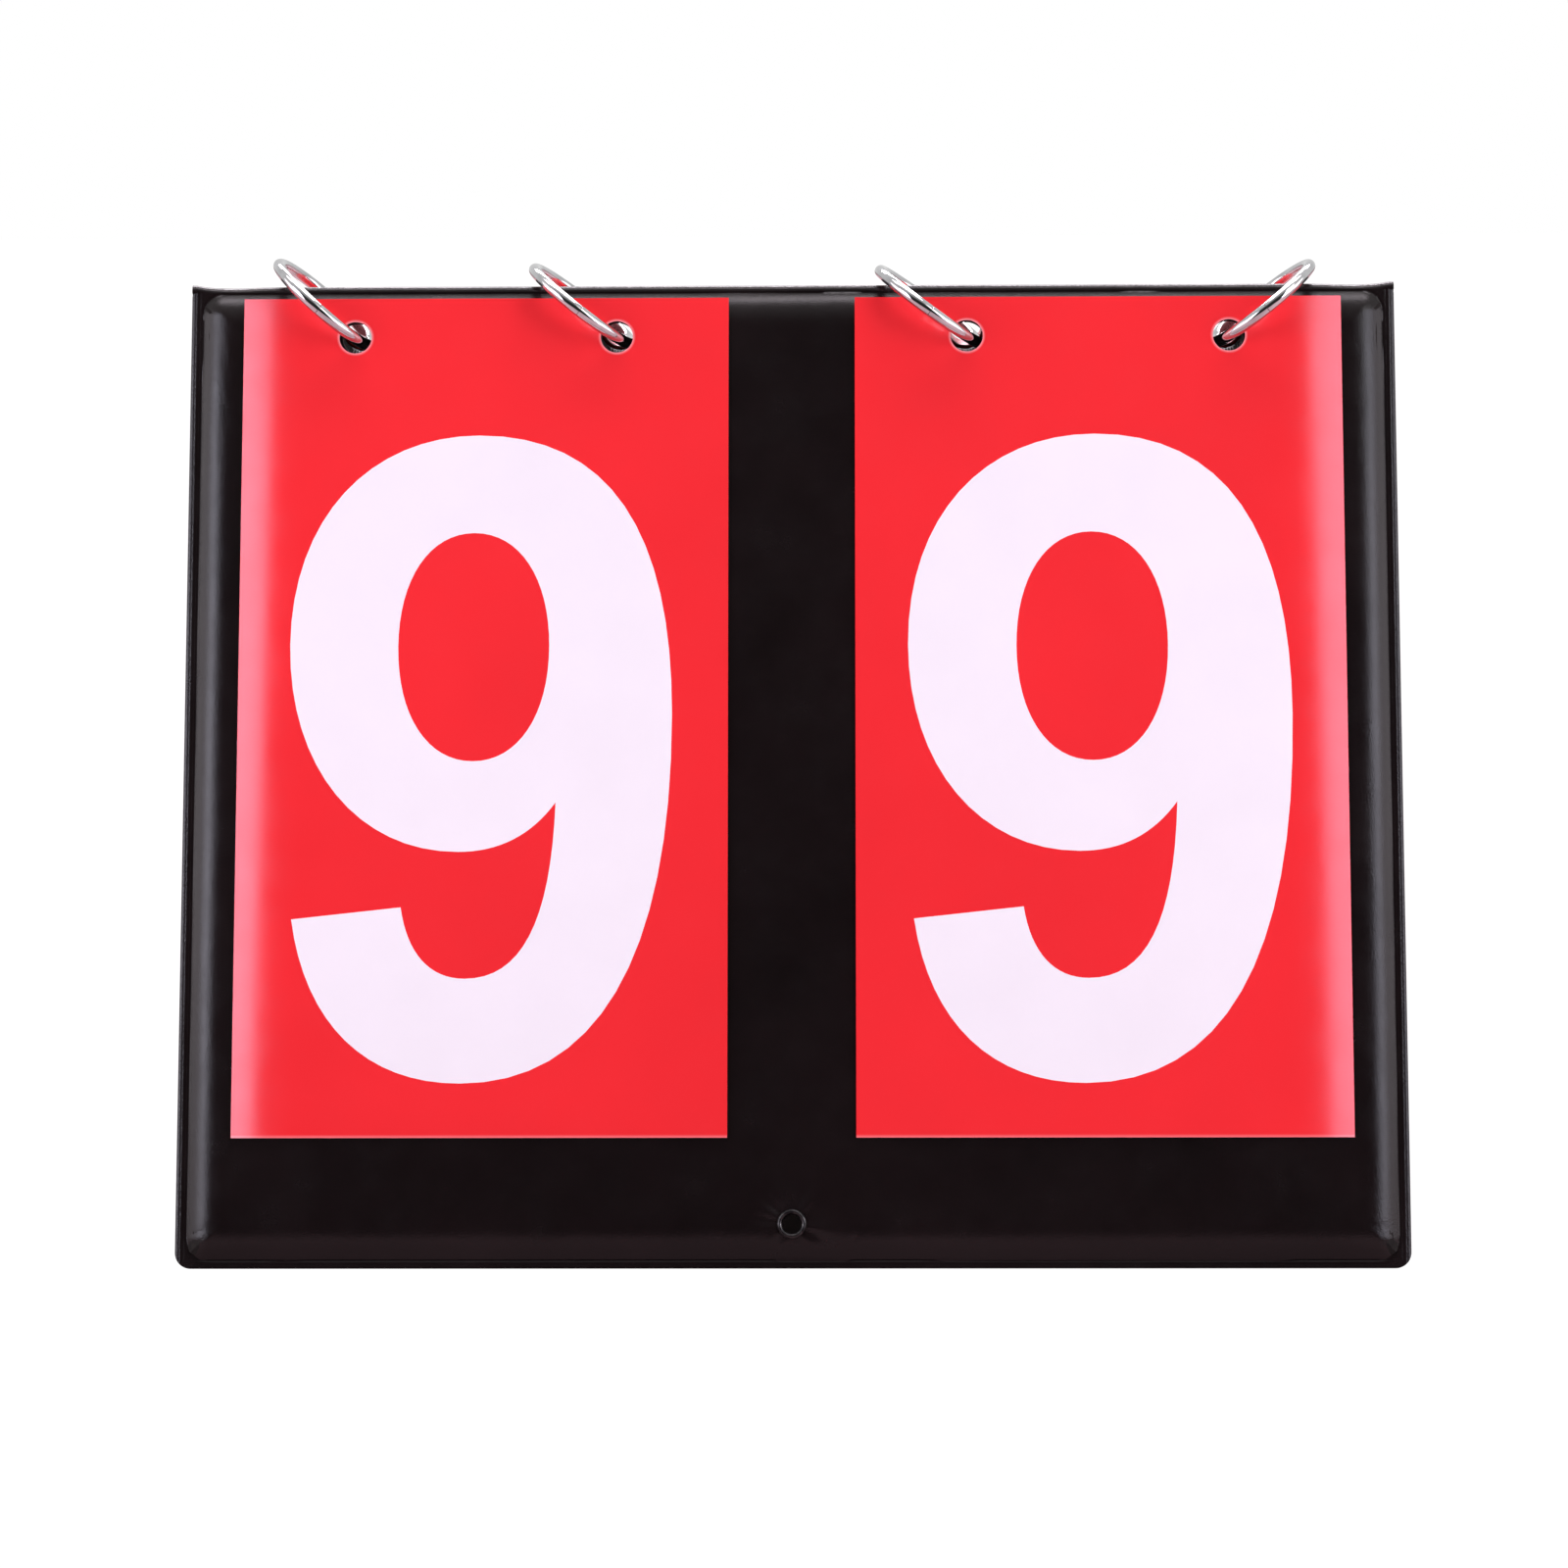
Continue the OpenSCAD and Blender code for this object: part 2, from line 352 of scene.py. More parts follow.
class Nodes:
    """A node tree, with short calls for the nodes that go into it."""

    def __init__(self, tree):
        self.tree = tree

    def feed(self, target, value):
        """Gives an input another node's output, or a value of its own."""
        if isinstance(value, bpy.types.NodeSocket):
            self.tree.links.new(value, target)
        else:
            target.default_value = value

    def node(self, kind, **inputs):
        made = self.tree.nodes.new(kind)
        for key, value in inputs.items():
            self.feed(made.inputs[key.replace("_", " ")], value)
        return made

    def place(self, kind="Object"):
        return self.node("ShaderNodeTexCoord").outputs[kind]

    def axes(self, kind="Object"):
        """The outputs X, Y and Z of a place."""
        return self.node("ShaderNodeSeparateXYZ", Vector=self.place(kind)).outputs

    def camera_ray(self):
        return self.node("ShaderNodeLightPath").outputs["Is Camera Ray"]

    def noise(self, scale, detail=2.0, rough=0.5):
        made = self.node("ShaderNodeTexNoise", Vector=self.place(), Scale=scale, Detail=detail,
                         Roughness=rough)
        return made.outputs["Fac"]

    def cells(self, scale):
        """Distance to the nearest border between cells."""
        made = self.node("ShaderNodeTexVoronoi", Scale=scale, Vector=self.place())
        made.feature = "DISTANCE_TO_EDGE"
        return made.outputs["Distance"]

    def maths(self, operation, first, second=0.0):
        made = self.tree.nodes.new("ShaderNodeMath")
        made.operation = operation
        self.feed(made.inputs[0], first)
        self.feed(made.inputs[1], second)
        return made.outputs[0]

    def remap(self, value, from_low, from_high, low, high, ease=False):
        made = self.node("ShaderNodeMapRange", Value=value, From_Min=from_low, From_Max=from_high,
                         To_Min=low, To_Max=high)
        made.interpolation_type = "SMOOTHSTEP" if ease else "LINEAR"
        return made.outputs["Result"]

    def ramp(self, value, *stops):
        """A colour that runs between stops of (place, colour)."""
        made = self.node("ShaderNodeValToRGB", Fac=value)
        ramp = made.color_ramp
        while len(ramp.elements) < len(stops):
            ramp.elements.new(0.5)
        for element, (place, colour) in zip(ramp.elements, stops):
            element.position = place
            element.color = (*colour, 1.0)
        return made.outputs["Color"]

    def mix(self, factor, first, second):
        """Blends two colours."""
        made = self.node("ShaderNodeMix")
        made.data_type = "RGBA"
        self.feed(made.inputs["Factor"], factor)
        self.feed(made.inputs[MIX_A], first)
        self.feed(made.inputs[MIX_B], second)
        return made.outputs[MIX_OUT]


class Recipe(Nodes):
    """A new material, and the nodes that feed its shader."""

    def __init__(self, name):
        self.material = bpy.data.materials.new(name)
        self.material.use_nodes = True
        super().__init__(self.material.node_tree)
        self.shader = self.tree.nodes["Principled BSDF"]

    def set(self, **values):
        for key, value in values.items():
            self.feed(self.shader.inputs[key.replace("_", " ")], value)

    def bump(self, *layers):
        """Layers of (height, depth in mm), each added on the one before."""
        normal = None
        for height, depth in layers:
            made = self.node("ShaderNodeBump", Height=height, Strength=1.0, Distance=depth * MM)
            if normal is not None:
                self.feed(made.inputs["Normal"], normal)
            normal = made.outputs["Normal"]
        self.set(Normal=normal)


def tint(colour, factor):
    return tuple(min(1.0, part * factor) for part in colour)


def leather_material():
    """Black vinyl with a fine pebbled grain, duller in some patches than in others."""
    base = board().leather
    recipe = Recipe("pebbled_vinyl")
    recipe.set(
        Base_Color=recipe.ramp(recipe.noise(45, 3.0, 0.55), (0.3, tint(base, 0.8)), (0.7, tint(base, 1.3))),
        Roughness=recipe.remap(recipe.noise(120, 4.0, 0.6), 0.35, 0.7, 0.2, 0.28),
        Specular_IOR_Level=0.27)
    recipe.bump((recipe.cells(2100), 0.034), (recipe.noise(5200, 3.0, 0.6), 0.008),
                (recipe.noise(320), 0.022))
    return recipe.material


def lining_material():
    """The flat inner sheet: the same vinyl, duller and with less grain."""
    base = tint(board().leather, 1.5)
    recipe = Recipe("lining_vinyl")
    recipe.set(
        Base_Color=recipe.ramp(recipe.noise(60, 3.0), (0.3, tint(base, 0.85)), (0.7, tint(base, 1.2))),
        Roughness=recipe.remap(recipe.noise(300, 3.0), 0.3, 0.7, 0.5, 0.62),
        Specular_IOR_Level=0.25)
    recipe.bump((recipe.cells(2600), 0.02), (recipe.noise(90), 0.05))
    return recipe.material


def card_material():
    """Glossy red sheet with painted highlights on its cut edges and a faint roll to its surface."""
    red = cards().red
    recipe = Recipe("card_sheet")
    face = recipe.ramp(recipe.noise(22), (0.35, tint(red, 0.97)), (0.65, tint(red, 1.03)))
    # Painted highlight: the cut sides, the rims of the punched holes and the lower edge are mixed towards
    # pale pink
    highlight_mask = recipe.maths("MAXIMUM", cut_sides(recipe), painted_edge_highlight(recipe))
    recipe.set(
        Base_Color=recipe.mix(highlight_mask, face, CARD_EDGE_HIGHLIGHT),
        Roughness=recipe.remap(recipe.noise(180, 3.0), 0.3, 0.7, 0.19, 0.25),
        Specular_IOR_Level=0.5,
        Specular_Tint=CARD_SHEEN)
    recipe.bump((side_curl(recipe), 1.0), (recipe.noise(14, 1.0), 0.22), (recipe.noise(1500), 0.0016))
    return recipe.material


def cut_sides(recipe):
    """One on the thin sides of a sheet and zero on its faces, told by the way they point."""
    lean = math.radians(board().lean)
    mirrored = recipe.tree.nodes.new("ShaderNodeVectorMath")
    mirrored.operation = "ABSOLUTE"
    recipe.feed(mirrored.inputs[0], recipe.place("Normal"))
    flatness = recipe.tree.nodes.new("ShaderNodeVectorMath")
    flatness.operation = "DOT_PRODUCT"
    recipe.feed(flatness.inputs[0], mirrored.outputs["Vector"])
    recipe.feed(flatness.inputs[1], (0, math.cos(lean), math.sin(lean)))
    return recipe.remap(flatness.outputs["Value"], 0.6, 0.85, 1.0, 0.0)


def side_curl(recipe):
    """Height in mm of a sheet whose outer edge bends back a little, from its place across the board."""
    from_middle = recipe.maths("ABSOLUTE", recipe.axes()["X"])
    edge = cards().offset + cards().width / 2
    near = recipe.remap(from_middle, (edge - CURL_REACH) * MM, edge * MM, 0.0, 1.0)
    return recipe.maths("MULTIPLY", recipe.maths("POWER", near, CURL_POWER), -CURL_DEPTH)


def painted_edge_highlight(recipe):
    """How much painted highlight a sheet takes: round the punched holes and along the lower cut edge."""
    sizes = cards()
    lean = math.radians(board().lean)
    place = recipe.axes()

    def apart(value, target):
        return recipe.maths("SUBTRACT", recipe.maths("ABSOLUTE", value), target * MM)

    behind = recipe.maths("MULTIPLY", recipe.maths("ABSOLUTE", place["Y"]), math.sin(lean))
    below = recipe.maths("MULTIPLY", recipe.maths("SUBTRACT", FOLD_Z * MM, place["Z"]), math.cos(lean))
    down = recipe.maths("ADD", behind, below)
    side = apart(apart(place["X"], sizes.offset), sizes.pitch / 2)
    drop = recipe.maths("SUBTRACT", down, hole_s() * MM)
    squares = recipe.maths("ADD", recipe.maths("MULTIPLY", side, side), recipe.maths("MULTIPLY", drop, drop))
    hole = sizes.hole / 2
    rim = recipe.remap(recipe.maths("SQRT", squares), (hole + 0.05) * MM, (hole + 0.5) * MM, 0.6, 0.0)
    low = sizes.top + sizes.height
    return recipe.maths("ADD", rim, recipe.remap(down, (low - 0.6) * MM, (low - 0.1) * MM, 0.0, 0.35))


def ink_material():
    """Screen-printed white, a little drier than the sheet under it."""
    ink = cards().ink
    recipe = Recipe("printed_white")
    recipe.set(
        Base_Color=recipe.ramp(recipe.noise(70, 3.0), (0.3, tint(ink, 0.985)), (0.7, tint(ink, 1.01))),
        Roughness=recipe.remap(recipe.noise(500, 3.0), 0.3, 0.7, 0.3, 0.38),
        Specular_IOR_Level=0.4)
    recipe.bump((recipe.noise(14, 1.0), 0.22), (recipe.noise(2600), 0.002))
    return recipe.material


def chrome_material():
    """Plated wire with dull specks."""
    recipe = Recipe("plated_wire")
    recipe.set(
        Base_Color=recipe.ramp(recipe.noise(260, 4.0), (0.3, (0.46, 0.46, 0.47)), (0.6, (0.62, 0.62, 0.63))),
        Roughness=recipe.remap(recipe.noise(900, 4.0, 0.65), 0.35, 0.75, 0.05, 0.13),
        Metallic=1.0)
    recipe.bump((recipe.noise(2400, 3.0), 0.002))
    return recipe.material


def eyelet_material():
    """Blackened metal that has worn bright in places."""
    recipe = Recipe("blackened_metal")
    wear = recipe.noise(900, 5.0, 0.65)
    recipe.set(
        Base_Color=recipe.ramp(wear, (0.42, (0.02, 0.019, 0.02)), (0.6, (0.06, 0.057, 0.057)),
                               (0.78, (0.2, 0.19, 0.185))),
        Roughness=recipe.remap(wear, 0.4, 0.8, 0.4, 0.28),
        Metallic=1.0)
    recipe.bump((recipe.noise(3000, 3.0), 0.004))
    return recipe.material


def greyboard_material():
    """Dark pressed board with paler flecks."""
    recipe = Recipe("pressed_board")
    recipe.set(
        Base_Color=recipe.ramp(recipe.noise(800, 5.0, 0.7), (0.3, (0.008, 0.007, 0.007)),
                               (0.6, (0.016, 0.014, 0.013)), (0.8, (0.05, 0.045, 0.04))),
        Roughness=0.92,
        Specular_IOR_Level=0.15)
    recipe.bump((recipe.noise(1500, 4.0), 0.03))
    return recipe.material


MATERIALS = {
    "leather": leather_material,
    "lining": lining_material,
    "card": card_material,
    "ink": ink_material,
    "chrome": chrome_material,
    "gunmetal": eyelet_material,
    "greyboard": greyboard_material,
}
MADE = {}


def material(name):
    if name not in MADE:
        MADE[name] = MATERIALS[name]()
    return MADE[name]


# Covers

def bell(distance, width):
    """One at distance zero, falling off smoothly over the width."""
    return math.exp(-(distance / width) ** 2)


def soft_noise(x, y, size, seed):
    return noise.noise(Vector((x / size, y / size, seed)))


def grid_lines(low, high, marks):
    """Lines from low to high, closer together near marks given as (place, reach, step)."""
    lines = [low]
    while lines[-1] < high:
        here = lines[-1]
        step = GRID_STEP
        for place, reach, near_step in marks:
            away = abs(here - place)
            if away < reach + GRID_STEP:
                step = min(step, near_step + (GRID_STEP - near_step) * max(0.0, away - reach) / GRID_STEP)
        lines.append(here + step)
    scale = (high - low) / (lines[-1] - low)
    return [low + (line - low) * scale for line in lines]


def round_corner(x, y, half_w, low, high, radius_low, radius_high):
    """Moves a point of a square grid so that the grid's corners become round."""
    bottom = y < (low + high) / 2
    radius = radius_low if bottom else radius_high
    across = abs(x) - (half_w - radius)
    down = (low + radius) - y if bottom else y - (high - radius)
    if across <= 0 or down <= 0:
        return x, y
    p, q = across / radius, down / radius
    new_across = radius * p * math.sqrt(1 - q * q / 2)
    new_down = radius * q * math.sqrt(1 - p * p / 2)
    new_x = math.copysign(half_w - radius + new_across, x)
    new_y = low + radius - new_down if bottom else high - radius + new_down
    return new_x, new_y


def inside_pad(x, y):
    """Distance from the padded block's edge to a point, positive inside it."""
    sizes = board()
    low, high = sizes.weld_low - sizes.height, -sizes.weld_top
    qx = abs(x) - (PANEL_W / 2 - sizes.weld - PAD_CORNER)
    qy = abs(y - (low + high) / 2) - ((high - low) / 2 - PAD_CORNER)
    outside = math.hypot(max(qx, 0), max(qy, 0))
    return PAD_CORNER - outside - min(max(qx, qy), 0)


def weld_lines(x, y):
    """Two fine pressed lines that run round the welded edge."""
    from_edge = min(PANEL_W / 2 - abs(x), y + board().height)
    return -WELD_LINE_DEPTH * sum(bell(from_edge - place, WELD_LINE_WIDTH) for place in WELD_LINES)


def pucker(x, y):
    """Short creases that run out from the eyelet, where the sheet is pulled down."""
    centre = eyelet_place()
    dx, dy = x - centre.x, y - centre.y
    away = math.hypot(dx, dy)
    if away > PUCKER_REACH or away < 0.5:
        return 0.0
    angle = math.atan2(dy, dx)
    rays = (math.cos(7 * angle + 0.6 * math.sin(2 * angle + 1.1))
            + 0.6 * math.cos(11 * angle + 1.9 + 0.05 * away))
    dish = -PUCKER_DISH * bell(away - 2.6, 1.9)
    return dish + PUCKER_RAYS * rays * bell(away - 4.6, 3.6) * min(1.0, away / 3)


def crease(x, y, place, length, angle, depth, width=0.55):
    """A short pinched line in the sheet."""
    dx, dy = x - place[0], y - place[1]
    along = dx * math.cos(angle) + dy * math.sin(angle)
    off = -dx * math.sin(angle) + dy * math.cos(angle)
    off += 0.12 * length * math.sin(along / length * 3.0)
    return depth * bell(off, width) * bell(along, length)


def creases(x, y, seed):
    """The pinches at the bottom corners, along the side shoulders and along the bottom one."""
    half_w, low = PANEL_W / 2, -board().height
    total = 0.0
    for side in (-1, 1):
        for index in range(3):
            turn = math.radians(28 + 24 * index + 6 * seed)
            place = (side * (half_w - 4.2 - 1.2 * index), low + 6.6 - 1.1 * index)
            angle = turn if side < 0 else math.pi - turn
            total += crease(x, y, place, 2.6, angle, -0.055, 0.5)
        for index in range(5):
            place = (side * (half_w - 6.2 - 0.9 * (index % 2)), -11.5 - 4.3 * index - 2 * seed)
            total += crease(x, y, place, 3.2, side * (0.9 + 0.12 * index), -0.05 + 0.006 * index)
    for offset, length, angle, depth in BOTTOM_CREASES:
        total += crease(x, y, (offset + 3 * seed, low + 4.0), length, angle, depth)
    return total


def cover_height(x, y, seed):
    """Height of the cover's outer face over the panel's inner plane."""
    sizes = board()
    weld_top = sizes.fold_gap + 2 * sizes.sheet
    rise = sizes.thickness - 2 * sizes.sheet
    reach = sizes.shoulder * SHOULDER_REACH
    depth = inside_pad(x, y) + 0.12 * soft_noise(x, y, 19, seed)
    if depth <= 0:
        lip = max(0.0, 1 - (PANEL_W / 2 - abs(x)) / LIP_WIDTH)
        return weld_top - WELD_GROOVE * bell(depth, 0.35) + weld_lines(x, y) - LIP_ROLL * lip ** 2
    height = rise * (1 - max(0.0, 1 - depth / reach) ** SHOULDER_POWER)
    weight = min(1.0, depth / 2.5)
    wrinkles = (0.05 * soft_noise(x, y, 31, seed + 4) + 0.018 * soft_noise(x, y, 7, seed + 9)
                + pucker(x, y) + creases(x, y, seed))
    return weld_top + max(-WELD_GROOVE, height + weight * wrinkles)


def punch(mesh, cutters):
    """Cuts round holes, given as (centre, radius), clean through a closed mesh."""
    builder = bmesh.new()
    for centre, radius in cutters:
        bmesh.ops.create_cone(builder, cap_ends=True, segments=64, radius1=radius, radius2=radius,
                              depth=12, matrix=Matrix.Translation((centre.x, centre.y, 2)))
    tool = put("punch", mesh_from_bmesh("punch", builder))
    body = put("punched", mesh)
    cut = body.modifiers.new("holes", "BOOLEAN")
    cut.operation = "DIFFERENCE"
    cut.solver = "EXACT"
    cut.object = tool
    result = evaluated_mesh(body)
    bpy.data.objects.remove(tool)
    return result


def cover_mesh(name, seed):
    """A closed sheet drawn flat in mm: the padded face over the flat back of the weld."""
    sizes = board()
    half_w, low = PANEL_W / 2, -sizes.height
    reach, fine = sizes.weld + sizes.shoulder + 2, sizes.weld + 0.6
    columns = grid_lines(-half_w, half_w, [(-half_w, reach, 0.4), (half_w, reach, 0.4), (0, 13, 0.5),
                                           (-half_w, fine, 0.15), (half_w, fine, 0.15)])
    rows = grid_lines(low, 0, [(low, reach, 0.4), (0, reach, 0.3), (low, fine, 0.15),
                               (low + fittings().eyelet_up, 8, 0.45)])
    back = sizes.fold_gap + sizes.sheet
    lean = math.radians(sizes.lean)

    def stand(x, y, z):
        """Keeps the foot level with the table."""
        floor = -(FOLD_Z + z * math.sin(lean)) / math.cos(lean)
        return x, max(y, floor), z

    builder = bmesh.new()
    face, rear = [], []
    for layer in (face, rear):
        for row in rows:
            line = []
            for column in columns:
                x, y = round_corner(column, row, half_w, low, 0, sizes.corner, sizes.top_corner)
                z = cover_height(x, y, seed) if layer is face else back
                line.append(builder.verts.new(stand(x, y, z)))
            layer.append(line)
    last_row, last_column = len(rows) - 1, len(columns) - 1
    for j in range(last_row):
        for i in range(last_column):
            builder.faces.new((face[j][i], face[j][i + 1], face[j + 1][i + 1], face[j + 1][i]))
            builder.faces.new((rear[j][i], rear[j + 1][i], rear[j + 1][i + 1], rear[j][i + 1]))
    rim = ([(0, i) for i in range(last_column)] + [(j, last_column) for j in range(last_row)]
           + [(last_row, i) for i in range(last_column, 0, -1)] + [(j, 0) for j in range(last_row, 0, -1)])
    for (j, i), (k, m) in zip(rim, rim[1:] + rim[:1]):
        builder.faces.new((face[j][i], rear[j][i], rear[k][m], face[k][m]))
    holes = [(place, sizes.ring_hole / 2) for place in hole_places()]
    holes.append((eyelet_place(), fittings().eyelet_bore / 2 + EYELET_HOLE_ROOM))
    return punch(closed_mesh(name, builder), holes)


class SCOREBOARD_OT_covers(bpy.types.Operator):
    """Make the padded vinyl covers of both panels"""

    bl_idname = "scoreboard.covers"
    bl_label = "Covers"

    def execute(self, context):
        for seed, (name, side) in enumerate(PANEL_SIDES.items()):
            mesh = cover_mesh(name + "_skin", seed)
            stand_up(mesh, side)
            piece = add_piece(name + "_skin", mesh, "leather", name + "_panel")
            sharpen(mesh, SHARP_ANGLE)
            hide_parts(name + "_cover")
        return {"FINISHED"}


class SCOREBOARD_OT_inner_sheets(bpy.types.Operator):
    """Finish the linings and the boards sealed inside the panels"""

    bl_idname = "scoreboard.inner_sheets"
    bl_label = "Linings and boards"

    def execute(self, context):
        for name in PANEL_SIDES:
            dress_node(name + "_lining", "lining")
            dress_node(name + "_board", "greyboard")
        return {"FINISHED"}


# Spine

def spine_mesh():
    """The two sheets bent round the fold line, a little proud at both ends."""
    sizes = board()
    inner, outer = sizes.fold_gap, sizes.fold_gap + 2 * sizes.sheet
    lean = math.radians(sizes.lean)
    half_w = PANEL_W / 2
    builder = bmesh.new()
    loops = []
    for x in grid_lines(-half_w, half_w, [(-half_w, 12, 0.7), (half_w, 12, 0.7)]):
        from_end = half_w - abs(x)
        proud = 0.42 * bell(from_end, 2.2) - 0.2 * bell(from_end - 8, 4.5) + 0.06 * soft_noise(x, 0, 17, 3)
        loop = []
        for radius, order in ((outer, range(SPINE_STEPS + 1)), (inner, range(SPINE_STEPS, -1, -1))):
            for step in order:
                angle = lean + (math.pi - 2 * lean) * step / SPINE_STEPS
                lift = proud * math.sin(math.pi * step / SPINE_STEPS) if radius == outer else 0
                y = (radius + lift) * math.cos(angle)
                z = (radius + lift) * math.sin(angle)
                loop.append(builder.verts.new((x * MM, y * MM, (FOLD_Z + z) * MM)))
        loops.append(loop)
    bridge(builder, loops)
    return closed_mesh("spine", builder)


class SCOREBOARD_OT_spine(bpy.types.Operator):
    """Make the vinyl strip that wraps round the fold line between the panels"""

    bl_idname = "scoreboard.spine"
    bl_label = "Spine"

    def execute(self, context):
        piece = put("spine_strip", spine_mesh())
        piece.data.materials.append(material("leather"))
        piece.data.shade_smooth()
        sharpen(piece.data, 50)
        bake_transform(piece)
        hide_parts("spine_cover")
        return {"FINISHED"}


# Eyelets

def lathe(name, profile, segments):
    """A closed profile of (radius, height) turned round the Z axis."""
    builder = bmesh.new()
    loops = []
    for index in range(segments):
        angle = 2 * math.pi * index / segments
        loops.append([builder.verts.new((r * math.cos(angle), r * math.sin(angle), z)) for r, z in profile])
    bridge(builder, loops + loops[:1], caps=False)
    return closed_mesh(name, builder)


def eyelet_profile():
    """Tube, rolled rim in front and a flat, clinched rim behind."""
    sizes = fittings()
    bore, rim = sizes.eyelet_bore / 2, sizes.eyelet_rim / 2
    wall = bore + EYELET_WALL
    top, back = face_z(), board().fold_gap
    roll = (rim - bore) / 2
    rise = sizes.eyelet_rise + EYELET_SINK
    arc = []
    for degrees in range(0, 181, 15):
        angle = math.radians(degrees)
        arc.append((bore + roll - roll * math.cos(angle), top - EYELET_SINK + rise * math.sin(angle)))
    return ([(bore, back - 0.2)] + arc
            + [(rim - 0.1, top - 0.1), (wall, top - 0.12), (wall, back - 0.02), (rim - 0.15, back - 0.02),
               (rim, back - 0.12), (rim - 0.12, back - 0.3), (bore + 0.2, back - 0.33)])


class SCOREBOARD_OT_eyelets(bpy.types.Operator):
    """Make the eyelets at the bottom of both panels"""

    bl_idname = "scoreboard.eyelets"
    bl_label = "Eyelets"

    def execute(self, context):
        for name, side in PANEL_SIDES.items():
            mesh = lathe(name + "_eyelet_turned", eyelet_profile(), 72)
            stand_up(mesh, side, eyelet_place())
            piece = add_piece(name + "_eyelet_turned", mesh, "gunmetal", name + "_panel")
            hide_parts(name + "_eyelet")
        return {"FINISHED"}


# Cards and digits

class SCOREBOARD_OT_cards(bpy.types.Operator):
    """Finish the twenty number cards"""

    bl_idname = "scoreboard.cards"
    bl_label = "Cards"

    def execute(self, context):
        for side in CARD_SIDES:
            for number in DIGITS:
                dress_node(f"{side}_card_{number}", "card")
        return {"FINISHED"}


# Each digit is a list of outlines, and an outline is a start point and then curves to points,
# written (handle, handle, point) or just the point for a straight edge.
# The box is 387 wide and 660 tall, with the origin at its lower left corner.
GLYPH_W, GLYPH_H = 387, 660


def is_point(part):
    return isinstance(part[0], (int, float))


def oval(cx, cy, rx, ry, fullness):
    """A closed, slightly squared oval."""
    hx, hy = rx * fullness, ry * fullness
    return [(cx - rx, cy),
            ((cx - rx, cy + hy), (cx - hx, cy + ry), (cx, cy + ry)),
            ((cx + hx, cy + ry), (cx + rx, cy + hy), (cx + rx, cy)),
            ((cx + rx, cy - hy), (cx + hx, cy - ry), (cx, cy - ry)),
            ((cx - hx, cy - ry), (cx - rx, cy - hy), (cx - rx, cy))]


def turned(outline):
    """The outline turned half round inside the glyph's box."""
    def spin(point):
        return GLYPH_W - point[0], GLYPH_H - point[1]
    return [spin(part) if is_point(part) else tuple(spin(point) for point in part) for part in outline]


NINE = [
    [(0, 444), ((0, 575), (78, 660), (190, 660)), ((322, 660), (387, 560), (387, 372)),
     ((387, 120), (310, 0), (176, 0)), ((82, 0), (20, 60), (5, 165)), (115, 177),
     ((122, 130), (145, 105), (180, 105)), ((236, 105), (266, 160), (270, 283)),
     ((246, 250), (214, 233), (172, 233)), ((72, 233), (0, 318), (0, 444))],
    oval(186, 442, 76.5, 117, 0.6),
]

GLYPHS = {
    0: [oval(193.5, 330, 193.5, 330, 0.6), oval(193.5, 330, 76, 232, 0.62)],
    1: [[(150, 0), (270, 0), (270, 660), (176, 660), ((160, 590), (110, 548), (30, 530)), (30, 430),
         ((80, 440), (120, 456), (150, 482)), (150, 0)]],
    2: [[(0, 0), (387, 0), (387, 112), (165, 112), ((185, 150), (215, 178), (270, 230)),
         ((350, 305), (384, 372), (384, 462)), ((384, 582), (312, 660), (197, 660)),
         ((78, 660), (8, 582), (6, 452)), (122, 438), ((124, 514), (148, 552), (196, 552)),
         ((242, 552), (266, 520), (266, 458)), ((266, 402), (244, 362), (186, 304)),
         ((72, 192), (14, 122), (0, 0))]],
    3: [[(0, 186), (114, 202), ((122, 138), (150, 106), (194, 106)),
         ((242, 106), (270, 142), (270, 206)), ((270, 268), (242, 300), (190, 300)),
         ((174, 300), (156, 298), (138, 292)), (150, 394), ((216, 392), (252, 420), (252, 478)),
         ((252, 526), (228, 556), (190, 556)), ((150, 556), (126, 524), (120, 464)), (12, 484),
         ((26, 598), (92, 660), (192, 660)), ((298, 660), (366, 592), (366, 494)),
         ((366, 428), (336, 380), (280, 354)), ((348, 330), (387, 276), (387, 200)),
         ((387, 82), (308, 0), (192, 0)), ((82, 0), (12, 68), (0, 186))]],
    4: [[(224, 0), (336, 0), (336, 132), (387, 132), (387, 240), (336, 240), (336, 660), (240, 660),
         (0, 242), (0, 132), (224, 132), (224, 0)], [(224, 240), (104, 240), (224, 462), (224, 240)]],
    5: [[(0, 172), (116, 188), ((124, 136), (150, 108), (190, 108)),
         ((240, 108), (266, 146), (266, 220)), ((266, 292), (240, 328), (190, 328)),
         ((158, 328), (132, 312), (110, 282)), (14, 302), (62, 648), (352, 648), (352, 534), (152, 534),
         (134, 404), ((158, 422), (186, 430), (216, 430)), ((316, 430), (387, 346), (387, 222)),
         ((387, 92), (306, 0), (190, 0)), ((84, 0), (14, 62), (0, 172))]],
    6: [turned(outline) for outline in NINE],
    7: [[(84, 0), (204, 0), ((208, 218), (268, 412), (387, 556)), (387, 648), (0, 648), (0, 532),
         (250, 532), ((146, 378), (90, 200), (84, 0))]],
    8: [[(0, 190), ((0, 262), (34, 318), (98, 352)), ((44, 384), (18, 432), (18, 490)),
         ((18, 592), (86, 660), (193, 660)), ((300, 660), (369, 592), (369, 490)),
         ((369, 432), (343, 384), (289, 352)), ((353, 318), (387, 262), (387, 190)),
         ((387, 76), (308, 0), (193, 0)), ((78, 0), (0, 76), (0, 190))], oval(193.5, 478, 66, 78, 0.56),
         oval(193.5, 200, 76, 94, 0.56)],
    9: NINE,
}


